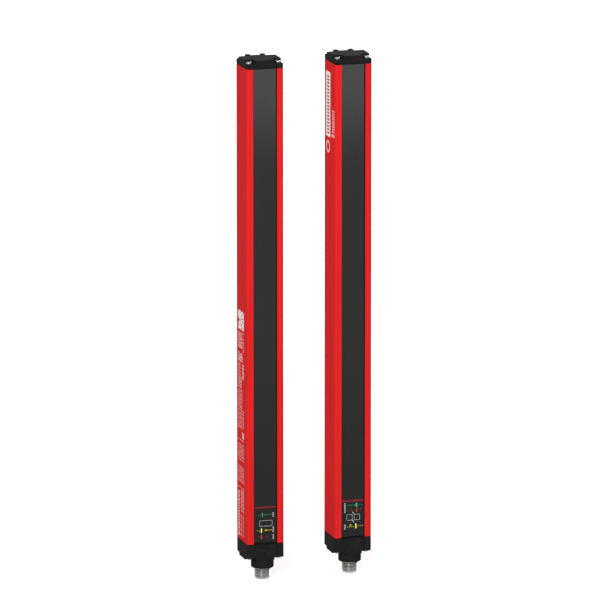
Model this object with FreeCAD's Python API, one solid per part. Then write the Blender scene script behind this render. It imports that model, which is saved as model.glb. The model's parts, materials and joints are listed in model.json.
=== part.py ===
"""Safety light curtain: a transmitter bar and a receiver bar of one compact series.

Each bar is an aluminium extrusion closed by two moulded end caps. A tinted window is held behind
the two front lips, the optics and the boards stand behind it, and an M12 plug leaves the lower cap.
Both bars face -Y and stand side by side along X. All lengths are millimetres.
"""
import FreeCAD, Part
import math
import os

from FreeCAD import Vector

# ---------------------------------------------------------------- driving dimensions

# the pair
bar_spacing = 66.8

# aluminium extrusion
profile_width = 28.0
profile_depth = 30.0
profile_length = 353.0
side_wall = 1.8
front_corner_radius = 2.0
rear_corner_radius = 3.0
lug_front_depth = 4.7
lug_inner_half_width = 8.2
rear_block_depth = 7.4

# front lips, window and its seals
window_opening = 18.0
lip_thickness = 1.8
lip_slope = 0.2
lip_groove_width = 0.5
lip_groove_depth = 0.3
lip_groove_from_side = 2.2
window_thickness = 1.1
window_overlap = 1.0
window_side_clearance = 0.2
window_end_clearance = 0.2
seal_thickness = 0.35

# mounting slot along the back
slot_neck_width = 6.2
slot_lip_thickness = 2.0
slot_wide_width = 9.4
slot_wide_depth = 2.8

# self-tapping cap screws
screw_diameter = 2.4
screw_core_clearance = 0.03
screw_hole_clearance = 0.4
screw_head_diameter = 4.3
screw_head_height = 1.6
screw_head_edge = 0.35
screw_recess_across_flats = 1.7
screw_recess_depth = 0.8
screw_engagement = 8.0
screw_from_side = 3.1
front_screw_from_front = 5.0
rear_screw_from_back = 4.4

# end caps
gasket_thickness = 0.6
gasket_inset = 0.3
top_shoulder_height = 3.6
bottom_shoulder_height = 10.85
top_platform_height = 2.75
bottom_platform_height = 1.95
screw_seat_margin = 0.2
screw_seat_side_margin = 1.85
screw_seat_rear_margin = 1.45
platform_step_radius = 1.4
platform_front_radius = 1.6
platform_edge = 0.15
platform_web_width = 10.4
platform_web_depth = 2.2
cap_front_recess = 0.8
shoulder_edge = 0.25
stud_diameter = 4.2
stud_spacing = 11.2
stud_from_back = 2.7
stud_edge = 0.2
spigot_depth = 2.0
spigot_wall = 1.4
spigot_clearance = 0.25

# connector boss of the lower cap
boss_diameter = 16.8
boss_height = 6.6
boss_edge = 0.6
boss_from_front = 9.3
cap_cavity_half_width = 8.3
cap_cavity_floor = 1.6
cap_cavity_front_wall = 2.3
cap_cavity_back_wall = 6.6

# M12 plug
thread_diameter = 12.0
thread_length = 8.4
thread_edge = 0.75
thread_relief = 0.5
shank_diameter = 11.0
shell_bore = 8.6
shell_fit_clearance = 0.1
shell_flange_diameter = 14.4
shell_flange_thickness = 1.4
shell_flange_above_tip = 12.9
counterbore_diameter = 15.0
ring_thickness = 1.8
o_ring_section = 1.0
o_ring_width = 0.8
o_ring_above_tip = 10.6
insert_recess = 6.5
pin_diameter = 1.0
pin_recess = 1.3
pin_tail_above_floor = 0.3
pin_circle_radius = 2.6
key_width = 1.1
key_depth = 0.7
key_recess = 0.8
transmitter_pins = 5
receiver_pins = 8

# optics
beam_pitch = 20.0
indicator_zone = 28.6
end_clearance = 0.3
carrier_clearance = 0.2
carrier_flange_thickness = 1.2
tunnel_front_width = 12.4
tunnel_rear_width = 5.2
lens_strip_thickness = 1.2
lens_strip_edge = 0.7
lens_diameter = 11.0
lens_sag = 1.1
emitter_side = 3.2
emitter_height = 1.0
emitter_lens_radius = 1.3
emitter_lens_height = 0.9
emitter_lens_edge = 0.4
photodiode_side = 4.4
photodiode_height = 1.3
photodiode_edge = 0.4

# boards
board_thickness = 1.6
board_gap = 3.4
board_back_clearance = 1.0
control_board_length = 90.0
board_clearance = 0.15
guide_height = 1.2
guide_thickness = 1.0
controller_side = 9.0
controller_height = 1.4
controller_pitch = 14.0
controller_from_board_end = 34.0
header_length = 14.0
header_depth = 2.6
header_from_board_end = 66.0
inductor_side = 7.0
inductor_height = 2.8
capacitor_radius = 2.2
capacitor_height = 2.6
component_clearance = 0.3
power_from_board_end = 22.5
flex_width = 8.0
flex_thickness = 0.3
flex_bend_radius = 2.0
flex_overlap = 7.0

# indicator panel, measured from the bar's centre line and from the foot of the extrusion
pipe_height = 3.6
pipe_width = 1.1
pipe_led_height = 0.8
pipe_led_margin = 0.2
display_bottom = 12.7
display_height = 4.4
display_clearance = 0.1
display_recess = 0.4
transmitter_pipes = [(-2.4, 21.3), (-3.0, 9.6), (-3.0, 4.9)]
transmitter_displays = [(0.35, 10.4)]
receiver_pipes = [(3.0, 24.0), (3.1, 19.9), (2.4, 8.1)]
receiver_displays = [(-2.4, 4.6), (3.4, 4.6)]

# ---------------------------------------------------------------- derived places

half_width = profile_width / 2
front = -profile_depth / 2
back = profile_depth / 2

lip_back = front + lip_thickness
window_half_width = window_opening / 2 + window_overlap
groove_half_width = window_half_width + window_side_clearance
window_back = lip_back + window_thickness
ledge = window_back + seal_thickness
lug_back = ledge + lug_front_depth
cavity_half_width = half_width - side_wall
cavity_back = back - rear_block_depth

slot_wide_back = back - slot_lip_thickness
slot_floor = slot_wide_back - slot_wide_depth

screw_x = half_width - screw_from_side
front_screw_y = front + front_screw_from_front
rear_screw_y = back - rear_screw_from_back
screw_radius = screw_diameter / 2
screw_places = [
    (side * screw_x, y) for side in (-1, 1) for y in (front_screw_y, rear_screw_y)
]

screw_head_radius = screw_head_diameter / 2
platform_back = rear_screw_y - screw_head_radius - screw_seat_rear_margin
tongue_half_width = screw_x - screw_head_radius - screw_seat_side_margin
step_back = front_screw_y + screw_head_radius + screw_seat_margin
stud_y = back - stud_from_back

boss_y = front + boss_from_front
shell_tip = bottom_shoulder_height + bottom_platform_height + boss_height + thread_length
flange_seat = -shell_tip + shell_flange_above_tip
insert_face = -shell_tip + insert_recess
cavity_floor_z = -bottom_shoulder_height + cap_cavity_floor
pin_tail_end = cavity_floor_z + pin_tail_above_floor

control_board_y = cavity_back - board_back_clearance - board_thickness
optics_board_y = control_board_y - board_gap - board_thickness
guide_reach = cavity_half_width - guide_height
board_half_width = cavity_half_width - board_clearance
board_start = spigot_depth + end_clearance
board_end = profile_length - spigot_depth - end_clearance

carrier_half_width = lug_inner_half_width - carrier_clearance
carrier_front = ledge + carrier_clearance
lens_strip_back = carrier_front + lens_strip_thickness
lens_strip_half_width = carrier_half_width - lens_strip_edge
beam_count = int((board_end - indicator_zone) / beam_pitch)
beam_places = [indicator_zone + beam_pitch * (i + 0.5) for i in range(beam_count)]
carrier_end = indicator_zone + beam_pitch * beam_count

top_height = top_shoulder_height + top_platform_height
overall_height = shell_tip + profile_length + top_height
foot_of_extrusion = -overall_height / 2 + shell_tip


# ---------------------------------------------------------------- helpers

def block(x0, x1, y0, y1, z0, z1):
    """A box between two corners."""
    return Part.makeBox(x1 - x0, y1 - y0, z1 - z0, Vector(x0, y0, z0))


def centred(half, y0, y1, z0, z1):
    """A box centred on the bar's middle plane."""
    return block(-half, half, y0, y1, z0, z1)


def upright(radius, x, y, z0, z1):
    """A cylinder along Z."""
    return Part.makeCylinder(radius, z1 - z0, Vector(x, y, z0))


def prism(points, z0, z1):
    """A straight prism along Z over a polygon of (x, y) points."""
    corners = [Vector(x, y, z0) for x, y in points]
    face = Part.Face(Part.makePolygon(corners + corners[:1]))
    return face.extrude(Vector(0, 0, z1 - z0))


def edges_along_z(shape, wanted):
    """Straight upright edges whose place (x, y) is wanted."""
    found = []
    for edge in shape.Edges:
        box, middle = edge.BoundBox, edge.CenterOfMass
        if box.XLength < 1e-6 and box.YLength < 1e-6 and wanted(middle.x, middle.y):
            found.append(edge)
    return found


def edges_at_height(shape, z, wanted=lambda x, y: True):
    """Edges that lie flat at one height."""
    found = []
    for edge in shape.Edges:
        box, middle = edge.BoundBox, edge.CenterOfMass
        if box.ZLength < 1e-6 and abs(box.ZMin - z) < 1e-6 and wanted(middle.x, middle.y):
            found.append(edge)
    return found


def rounded_section(z0, z1, inset=0.0):
    """The bar's outer section between two heights, drawn in by an inset."""
    body = centred(half_width - inset, front + inset, back - inset, z0, z1)
    body = body.makeFillet(front_corner_radius, edges_along_z(body, lambda x, y: y < 0))
    return body.makeFillet(rear_corner_radius, edges_along_z(body, lambda x, y: y > 0 and
                                                             abs(x) > half_width - inset - 1e-6))


def mirrored(shape):
    """The same shape on the other side of the bar's middle plane."""
    return shape.mirror(Vector(0, 0, 0), Vector(1, 0, 0))


def both_sides(shape):
    """A shape and its mirror image."""
    return [shape, mirrored(shape)]


# ---------------------------------------------------------------- extrusion and window

def guide_pair(board_y):
    """Ribs on the right-hand wall that hold one edge of a board."""
    front_rib = block(guide_reach, cavity_half_width, board_y - board_clearance - guide_thickness,
                      board_y - board_clearance, 0, profile_length)
    rear_face = board_y + board_thickness + board_clearance
    rear_rib = block(guide_reach, cavity_half_width, rear_face,
                     min(rear_face + guide_thickness, cavity_back), 0, profile_length)
    return [front_rib, rear_rib]


def make_profile():
    """The extrusion: lips, window groove, screw lugs, board guides and the slot at the back."""
    body = rounded_section(0, profile_length)
    tools = [
        centred(groove_half_width, lip_back, ledge, 0, profile_length),
        centred(lug_inner_half_width, ledge, lug_back, 0, profile_length),
        centred(cavity_half_width, lug_back, cavity_back, 0, profile_length),
        centred(slot_wide_width / 2, slot_floor, slot_wide_back, 0, profile_length),
        centred(slot_neck_width / 2, slot_wide_back, back, 0, profile_length),
    ]
    opening = window_opening / 2
    groove_side = half_width - lip_groove_from_side
    lip_face = prism(
        [(0, front), (groove_side, front), (opening, front + lip_slope), (opening, lip_back),
         (0, lip_back)], 0, profile_length)
    lip_groove = prism(
        [(groove_side + lip_groove_width / 2, front), (groove_side, front + lip_groove_depth),
         (groove_side - lip_groove_width / 2, front)], 0, profile_length)
    tools += both_sides(lip_face) + both_sides(lip_groove)
    core = screw_radius + screw_core_clearance
    tools += [upright(core, x, y, 0, profile_length) for x, y in screw_places]
    body = body.cut(tools)
    ribs = []
    for board_y in (optics_board_y, control_board_y):
        for rib in guide_pair(board_y):
            ribs += both_sides(rib)
    return body.fuse(ribs).removeSplitter()


def make_window():
    """The tinted window, which slides in behind the lips."""
    return centred(window_half_width, lip_back, window_back,
                   window_end_clearance, profile_length - window_end_clearance)


def make_window_seals():
    """One flat strip behind each long edge of the window."""
    strip = block(lug_inner_half_width, window_half_width, window_back, ledge,
                  window_end_clearance, profile_length - window_end_clearance)
    return Part.makeCompound(both_sides(strip))


# ---------------------------------------------------------------- end caps

def shoulder(height, top):
    """The full-section part of a cap, standing on its gasket, with the platform on top."""
    body = rounded_section(gasket_thickness, height)
    body = body.makeChamfer(shoulder_edge, edges_at_height(body, height))
    plate = centred(half_width, front, platform_back, height - shoulder_edge, top)
    step = block(tongue_half_width, half_width, front, step_back,
                 height - shoulder_edge, top)
    plate = plate.cut(both_sides(step))
    inner_corners = edges_along_z(
        plate, lambda x, y: abs(abs(x) - tongue_half_width) < 1e-6 and y > front + 1e-6)
    plate = plate.makeFillet(platform_step_radius, inner_corners)
    front_edge = edges_at_height(plate, top, lambda x, y: abs(y - front) < 1e-6)
    plate = plate.makeFillet(platform_front_radius, front_edge)
    side_edges = edges_at_height(plate, top, lambda x, y: abs(abs(x) - half_width) < 1e-6 or
                                 abs(y - platform_back) < 1e-6)
    plate = plate.makeChamfer(platform_edge, side_edges)
    web = centred(platform_web_width / 2, step_back, platform_back + platform_web_depth,
                  height - shoulder_edge, top)
    recess = centred(window_opening / 2, front, front + cap_front_recess, 0, top)
    return body.fuse([plate, web]).cut(recess)


def studs(height, top):
    """Two round studs on the shoulder behind the platform."""
    stud = upright(stud_diameter / 2, stud_spacing / 2, stud_y, height - shoulder_edge, top)
    stud = stud.makeChamfer(stud_edge, edges_at_height(stud, top))
    return both_sides(stud)


def spigot():
    """The ring under a cap that drops into the extrusion."""
    half = guide_reach - spigot_clearance
    y0 = lug_back + spigot_clearance
    y1 = cavity_back - spigot_clearance
    outer = centred(half, y0, y1, -spigot_depth, gasket_thickness)
    inner = centred(half - spigot_wall, y0 + spigot_wall, y1 - spigot_wall,
                    -spigot_depth, gasket_thickness)
    return outer.cut(inner)


def screw_holes(height):
    """Clearance holes for the four cap screws."""
    radius = screw_radius + screw_hole_clearance
    return [upright(radius, x, y, 0, height) for x, y in screw_places]


def make_cap(height, platform_height):
    """A cap with its platform, studs, spigot and screw holes, standing on z = 0."""
    top = height + platform_height
    body = shoulder(height, top).fuse(studs(height, top) + [spigot()])
    return body.cut(screw_holes(height)).removeSplitter()


def upside_down(shape):
    """The same piece for the lower end of the bar, its front kept to the front."""
    return shape.mirror(Vector(0, 0, 0), Vector(0, 0, 1))


def make_top_cap():
    """The upper end cap."""
    cap = make_cap(top_shoulder_height, top_platform_height)
    return cap.translated(Vector(0, 0, profile_length))


def make_bottom_cap():
    """The lower end cap, with the boss that carries the plug."""
    cap = upside_down(make_cap(bottom_shoulder_height, bottom_platform_height))
    foot = -shell_tip + thread_length
    boss = upright(boss_diameter / 2, 0, boss_y, foot, -bottom_shoulder_height)
    boss = boss.makeChamfer(boss_edge, edges_at_height(boss, foot))
    cavity = centred(cap_cavity_half_width, front + cap_cavity_front_wall,
                     back - cap_cavity_back_wall, cavity_floor_z, -gasket_thickness)
    bore = upright(shank_diameter / 2 + shell_fit_clearance, 0, boss_y, foot, flange_seat)
    counterbore = upright(counterbore_diameter / 2, 0, boss_y, flange_seat, cavity_floor_z)
    return cap.fuse(boss).cut([cavity, bore, counterbore]).removeSplitter()


def make_gasket():
    """A flat gasket for the upper end, open over the cavity and the screws."""
    plate = rounded_section(0, gasket_thickness, gasket_inset)
    opening = centred(guide_reach, lug_back, cavity_back, 0, gasket_thickness)
    return plate.cut([opening] + screw_holes(gasket_thickness))


def make_top_gasket():
    """The upper gasket."""
    return make_gasket().translated(Vector(0, 0, profile_length))


def make_bottom_gasket():
    """The lower gasket."""
    return upside_down(make_gasket())


def cap_screw(shoulder_height):
    """A cap screw with its head seated on the shoulder, driven down into z < 0."""
    head = upright(screw_head_radius, 0, 0, shoulder_height,
                   shoulder_height + screw_head_height)
    head = head.makeChamfer(screw_head_edge,
                            edges_at_height(head, shoulder_height + screw_head_height))
    shank = upright(screw_radius, 0, 0, -screw_engagement, shoulder_height)
    corner = screw_recess_across_flats / math.sqrt(3)
    hexagon = [(corner * math.cos(math.radians(60 * i)), corner * math.sin(math.radians(60 * i)))
               for i in range(6)]
    recess = prism(hexagon, shoulder_height + screw_head_height - screw_recess_depth,
                   shoulder_height + screw_head_height)
    return head.fuse(shank).cut(recess)


def screw_set(shoulder_height):
    """Four screws at the corners."""
    screw = cap_screw(shoulder_height)
    return Part.makeCompound([screw.translated(Vector(x, y, 0)) for x, y in screw_places])


def make_top_cap_screws():
    """The screws of the upper cap."""
    return screw_set(top_shoulder_height).translated(Vector(0, 0, profile_length))


def make_bottom_cap_screws():
    """The screws of the lower cap."""
    return upside_down(screw_set(bottom_shoulder_height))


# ---------------------------------------------------------------- M12 plug

def pin_places(count):
    """Pin axes: all on one circle for up to four, otherwise the last one in the middle."""
    ring = count if count < 5 else count - 1
    turns = [2 * math.pi * (i + 0.5) / ring for i in range(ring)]
    places = [(pin_circle_radius * math.cos(t), boss_y + pin_circle_radius * math.sin(t))
              for t in turns]
    if count > ring:
        places.append((0, boss_y))
    return places


def make_connector_shell():
    """The threaded metal shell with its flange inside the cap and its coding key."""
    top = flange_seat + shell_flange_thickness
    thread = upright(thread_diameter / 2, 0, boss_y, -shell_tip,
                     -shell_tip + thread_length - thread_relief)
    thread = thread.makeChamfer(thread_edge, edges_at_height(thread, -shell_tip))
    shank = upright(shank_diameter / 2, 0, boss_y, -shell_tip + thread_edge, top)
    flange = upright(shell_flange_diameter / 2, 0, boss_y, flange_seat, top)
    bore = upright(shell_bore / 2, 0, boss_y, -shell_tip, top)
    body = thread.fuse([shank, flange]).cut([make_connector_o_ring(), bore])
    wall = (shank_diameter - shell_bore) / 2
    key = block(-key_width / 2, key_width / 2, boss_y + shell_bore / 2 - key_depth,
                boss_y + shell_bore / 2 + wall / 2, -shell_tip + key_recess, insert_face)
    return body.fuse(key).removeSplitter()


def make_connector_insert(pins):
    """The moulded contact carrier inside the shell."""
    body = upright(shell_bore / 2, 0, boss_y, insert_face, flange_seat + shell_flange_thickness)
    holes = [upright(pin_diameter / 2, x, y, insert_face, flange_seat + shell_flange_thickness)
             for x, y in pin_places(pins)]
    return body.cut(holes)


def make_connector_pins(pins):
    """The contact pins, from their tails to the mating end."""
    tip = -shell_tip + pin_recess
    return Part.makeCompound([upright(pin_diameter / 2, x, y, tip, pin_tail_end)
                              for x, y in pin_places(pins)])


def make_connector_o_ring():
    """The O-ring in the shell's groove, pressed to the groove's form."""
    low = -shell_tip + o_ring_above_tip - o_ring_section / 2
    outer = shank_diameter / 2 + shell_fit_clearance
    ring = upright(outer, 0, boss_y, low, low + o_ring_section)
    hole = upright(outer - o_ring_width, 0, boss_y, low, low + o_ring_section)
    return ring.cut(hole)


def make_connector_lock_ring():
    """The ring that presses the shell's flange onto its seat."""
    z0 = flange_seat + shell_flange_thickness
    ring = upright(counterbore_diameter / 2, 0, boss_y, z0, z0 + ring_thickness)
    hole = upright(shank_diameter / 2, 0, boss_y, z0, z0 + ring_thickness)
    return ring.cut(hole)


def make_connector_flex():
    """The flat cable from the pin tails round to the foot of the control board."""
    floor = pin_tail_end
    wall = control_board_y
    radius = flex_bend_radius
    start = boss_y - pin_circle_radius - pin_diameter
    tangent_y = wall - radius
    corner = radius * math.sqrt(0.5)
    inner = radius - flex_thickness
    inner_corner = inner * math.sqrt(0.5)
    centre_z = floor + radius
    top = board_start + flex_overlap
    x = -flex_width / 2

    def at(y, z):
        return Vector(x, y, z)

    outline = Part.Wire([
        Part.LineSegment(at(start, floor), at(tangent_y, floor)).toShape(),
        Part.Arc(at(tangent_y, floor), at(tangent_y + corner, centre_z - corner),
                 at(wall, centre_z)).toShape(),
        Part.LineSegment(at(wall, centre_z), at(wall, top)).toShape(),
        Part.LineSegment(at(wall, top), at(wall - flex_thickness, top)).toShape(),
        Part.LineSegment(at(wall - flex_thickness, top),
                         at(wall - flex_thickness, centre_z)).toShape(),
        Part.Arc(at(wall - flex_thickness, centre_z),
                 at(tangent_y + inner_corner, centre_z - inner_corner),
                 at(tangent_y, floor + flex_thickness)).toShape(),
        Part.LineSegment(at(tangent_y, floor + flex_thickness),
                         at(start, floor + flex_thickness)).toShape(),
        Part.LineSegment(at(start, floor + flex_thickness), at(start, floor)).toShape(),
    ])
    return Part.Face(outline).extrude(Vector(flex_width, 0, 0))


# ---------------------------------------------------------------- optics

def tunnel(z):
    """One tapered light tunnel, square in section."""
    def square(side, y):
        half = side / 2
        corners = [Vector(-half, y, z - half), Vector(half, y, z - half),
                   Vector(half, y, z + half), Vector(-half, y, z + half)]
        return Part.makePolygon(corners + corners[:1])
    return Part.makeLoft([square(tunnel_front_width, lens_strip_back),
                          square(tunnel_rear_width, optics_board_y)], True, True)


def make_optics_carrier():
    """The black moulding with one light tunnel for each beam and a seat for the lens strip."""
    body = centred(carrier_half_width, carrier_front, optics_board_y,
                   indicator_zone, carrier_end)
    flange = centred(cavity_half_width - board_clearance, lug_back + carrier_clearance,
                     lug_back + carrier_clearance + carrier_flange_thickness,
                     indicator_zone, carrier_end)
    seat = centred(lens_strip_half_width, carrier_front, lens_strip_back,
                   indicator_zone + lens_strip_edge, carrier_end - lens_strip_edge)
    tunnels = [tunnel(z) for z in beam_places]
    return body.fuse(flange).cut([seat] + tunnels).removeSplitter()


def make_lens_strip():
    """The clear strip with one plano-convex lens for each beam, its flat side to the window."""
    strip = centred(lens_strip_half_width, carrier_front, lens_strip_back,
                    indicator_zone + lens_strip_edge, carrier_end - lens_strip_edge)
    half = lens_diameter / 2
    radius = (half ** 2 + lens_sag ** 2) / (2 * lens_sag)
    latitude = math.degrees(math.asin((radius - lens_sag) / radius))
    centre_y = lens_strip_back - (radius - lens_sag)
    domes = [Part.makeSphere(radius, Vector(0, centre_y, z), Vector(0, 1, 0), latitude, 90, 360)
             for z in beam_places]
    return strip.fuse(domes)


def emitter(z):
    """An infrared emitter: a square base with a round lens."""
    half = emitter_side / 2
    face = optics_board_y - emitter_height
    base = block(-half, half, face, optics_board_y, z - half, z + half)
    lens = Part.makeCone(emitter_lens_radius, emitter_lens_radius - emitter_lens_edge,
                         emitter_lens_height, Vector(0, face, z), Vector(0, -1, 0))
    return base.fuse(lens)


def photodiode(z):
    """A receiving diode: a flat square package with bevelled front edges."""
    half = photodiode_side / 2
    inner = half - photodiode_edge
    face = optics_board_y - photodiode_height
    waist = face + photodiode_edge
    base = block(-half, half, waist, optics_board_y, z - half, z + half)

    def square(side, y):
        corners = [Vector(-side, y, z - side), Vector(side, y, z - side),
                   Vector(side, y, z + side), Vector(-side, y, z + side)]
        return Part.makePolygon(corners + corners[:1])

    cap = Part.makeLoft([square(half, waist), square(inner, face)], True, True)
    return base.fuse(cap)


def make_emitters():
    """One emitter behind each lens."""
    return Part.makeCompound([emitter(z) for z in beam_places])


def make_photodiodes():
    """One receiving diode behind each lens."""
    return Part.makeCompound([photodiode(z) for z in beam_places])


# ---------------------------------------------------------------- boards

def make_optics_board():
    """The long board that carries emitters or diodes and the indicator lamps."""
    return centred(board_half_width, optics_board_y, optics_board_y + board_thickness,
                   board_start, board_end)


def make_control_board():
    """The short board behind it, with the two controllers and the supply."""
    return centred(board_half_width, control_board_y, control_board_y + board_thickness,
                   board_start, board_start + control_board_length)


def on_control_board(x, z, side_x, side_z, height):
    """A block on the control board's front face."""
    return block(x - side_x / 2, x + side_x / 2, control_board_y - height, control_board_y,
                 z - side_z / 2, z + side_z / 2)


def make_safety_controllers():
    """Two controllers that watch each other."""
    first = board_start + controller_from_board_end
    return Part.makeCompound([
        on_control_board(0, first + controller_pitch * i, controller_side, controller_side,
                         controller_height) for i in range(2)])


def make_power_components():
    """A choke and two capacitors near the plug end."""
    z = board_start + power_from_board_end
    choke = on_control_board(0, z, inductor_side, inductor_side, inductor_height)
    can_x = guide_reach - component_clearance - capacitor_radius
    cans = [Part.makeCylinder(capacitor_radius, capacitor_height,
                              Vector(side * can_x, control_board_y, z), Vector(0, -1, 0))
            for side in (-1, 1)]
    return Part.makeCompound([choke] + cans)


def make_board_header():
    """The plug-in header that joins the two boards."""
    z = board_start + header_from_board_end
    return block(-header_length / 2, header_length / 2, optics_board_y + board_thickness,
                 control_board_y, z - header_depth / 2, z + header_depth / 2)


# ---------------------------------------------------------------- indicator panel

def make_indicator_block(pipes, displays):
    """The opaque block behind the panel, with a slot for each light pipe and display."""
    body = centred(carrier_half_width, carrier_front, optics_board_y,
                   board_start, indicator_zone - end_clearance)
    slots = [block(x - pipe_width / 2, x + pipe_width / 2, carrier_front, optics_board_y,
                   z - pipe_height / 2, z + pipe_height / 2) for x, z in pipes]
    wells = [block(x - width / 2 - display_clearance, x + width / 2 + display_clearance,
                   carrier_front, optics_board_y, display_bottom - display_clearance,
                   display_bottom + display_height + display_clearance)
             for x, width in displays]
    return body.cut(slots + wells)


def make_light_pipes(pipes):
    """Flat clear bars that bring the lamps' light to the window."""
    rear = optics_board_y - pipe_led_height - pipe_led_margin
    return Part.makeCompound([
        block(x - pipe_width / 2, x + pipe_width / 2, carrier_front, rear,
              z - pipe_height / 2, z + pipe_height / 2) for x, z in pipes])


def make_indicator_leds(pipes):
    """One lamp under each light pipe."""
    half_width_of_led = pipe_width / 2 - pipe_led_margin / 2
    half_height_of_led = pipe_height / 2 - pipe_led_margin
    return Part.makeCompound([
        block(x - half_width_of_led, x + half_width_of_led, optics_board_y - pipe_led_height,
              optics_board_y, z - half_height_of_led, z + half_height_of_led) for x, z in pipes])


def make_displays(displays):
    """The digit displays, standing on the optics board."""
    return Part.makeCompound([
        block(x - width / 2, x + width / 2, carrier_front + display_recess, optics_board_y,
              display_bottom, display_bottom + display_height) for x, width in displays])


# ---------------------------------------------------------------- assembly

def shared_pieces(pins, pipes, displays):
    """The pieces that both bars have, by name, in the bar's own frame."""
    return {
        "housing_profile": make_profile(),
        "front_window": make_window(),
        "window_seals": make_window_seals(),
        "top_cap": make_top_cap(),
        "top_gasket": make_top_gasket(),
        "top_cap_screws": make_top_cap_screws(),
        "bottom_cap": make_bottom_cap(),
        "bottom_gasket": make_bottom_gasket(),
        "bottom_cap_screws": make_bottom_cap_screws(),
        "connector_shell": make_connector_shell(),
        "connector_insert": make_connector_insert(pins),
        "connector_pins": make_connector_pins(pins),
        "connector_o_ring": make_connector_o_ring(),
        "connector_lock_ring": make_connector_lock_ring(),
        "connector_flex": make_connector_flex(),
        "optics_carrier": make_optics_carrier(),
        "lens_strip": make_lens_strip(),
        "optics_board": make_optics_board(),
        "control_board": make_control_board(),
        "safety_controllers": make_safety_controllers(),
        "power_components": make_power_components(),
        "board_header": make_board_header(),
        "indicator_block": make_indicator_block(pipes, displays),
        "light_pipes": make_light_pipes(pipes),
        "indicator_leds": make_indicator_leds(pipes),
        "digit_displays": make_displays(displays),
    }


def transmitter():
    """The bar that sends the beams."""
    pieces = shared_pieces(transmitter_pins, transmitter_pipes, transmitter_displays)
    pieces["emitters"] = make_emitters()
    return pieces


def receiver():
    """The bar that catches them."""
    pieces = shared_pieces(receiver_pins, receiver_pipes, receiver_displays)
    pieces["photodiodes"] = make_photodiodes()
    return pieces


def save(prefix, pieces, x):
    """Write one STEP file for each piece, with the bar standing at x."""
    for name, shape in pieces.items():
        placed = shape.translated(Vector(x, 0, foot_of_extrusion))
        placed.exportStep("parts/" + prefix + "_" + name + ".step")


os.makedirs("parts", exist_ok=True)
save("transmitter", transmitter(), -bar_spacing / 2)
save("receiver", receiver(), bar_spacing / 2)
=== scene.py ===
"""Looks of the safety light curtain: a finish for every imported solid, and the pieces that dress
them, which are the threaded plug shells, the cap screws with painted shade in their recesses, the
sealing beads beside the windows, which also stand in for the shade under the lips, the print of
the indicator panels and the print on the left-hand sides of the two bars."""

import json
import math
import random

import bmesh
import bpy
from mathutils import Matrix, Vector


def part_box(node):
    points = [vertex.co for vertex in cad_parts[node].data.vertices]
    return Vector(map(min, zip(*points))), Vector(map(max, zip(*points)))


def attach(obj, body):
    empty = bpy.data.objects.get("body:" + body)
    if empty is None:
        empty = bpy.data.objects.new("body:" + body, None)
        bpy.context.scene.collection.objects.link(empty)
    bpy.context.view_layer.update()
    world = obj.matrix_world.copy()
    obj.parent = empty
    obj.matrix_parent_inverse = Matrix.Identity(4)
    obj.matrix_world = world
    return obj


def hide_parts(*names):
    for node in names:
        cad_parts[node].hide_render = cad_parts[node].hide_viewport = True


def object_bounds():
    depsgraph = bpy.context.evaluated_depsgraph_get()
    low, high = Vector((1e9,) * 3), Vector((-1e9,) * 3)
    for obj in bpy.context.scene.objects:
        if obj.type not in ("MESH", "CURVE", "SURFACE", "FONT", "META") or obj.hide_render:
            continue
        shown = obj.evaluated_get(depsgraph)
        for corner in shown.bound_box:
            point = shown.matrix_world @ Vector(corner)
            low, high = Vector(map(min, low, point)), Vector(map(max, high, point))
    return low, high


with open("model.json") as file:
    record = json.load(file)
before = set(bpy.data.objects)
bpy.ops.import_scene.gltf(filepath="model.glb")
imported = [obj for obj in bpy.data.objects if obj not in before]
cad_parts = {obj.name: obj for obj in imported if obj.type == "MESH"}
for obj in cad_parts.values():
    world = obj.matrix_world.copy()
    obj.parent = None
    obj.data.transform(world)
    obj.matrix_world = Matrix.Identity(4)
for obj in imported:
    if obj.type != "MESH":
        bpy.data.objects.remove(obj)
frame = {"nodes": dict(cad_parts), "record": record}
cad_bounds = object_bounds()

MM = 0.001
BARS = ("transmitter", "receiver")


# ---------------------------------------------------------------- shader tools

def linear(hex_colour):
    """An sRGB hex colour as the linear values that shader sockets take."""
    channels = [int(hex_colour[i:i + 2], 16) / 255 for i in (0, 2, 4)]
    return tuple(c / 12.92 if c <= 0.04045 else ((c + 0.055) / 1.055) ** 2.4
                 for c in channels) + (1.0,)


def add_node(tree, kind, settings=None, values=None, links=None):
    """One shader node with its settings, its socket values and what feeds its sockets."""
    node = tree.nodes.new(kind)
    for name, value in (settings or {}).items():
        setattr(node, name, value)
    for socket, value in (values or {}).items():
        node.inputs[socket].default_value = value
    for socket, source in (links or {}).items():
        tree.links.new(source, node.inputs[socket])
    return node


# how much finer a pattern is along each axis than its given size: under 1 it is drawn out
EVEN = (1.0, 1.0, 1.0)
ALONG_THE_BAR = (1.0, 1.0, 0.02)
ROUND_THE_AXIS = (0.03, 0.03, 1.0)

NOISE = {"Scale": 1.0, "Detail": 3.0, "Roughness": 0.55}
# most of the noise lies between these two values, where the two colours of a finish stand
RAMP_STOPS = (0.35, 0.65)


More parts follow.
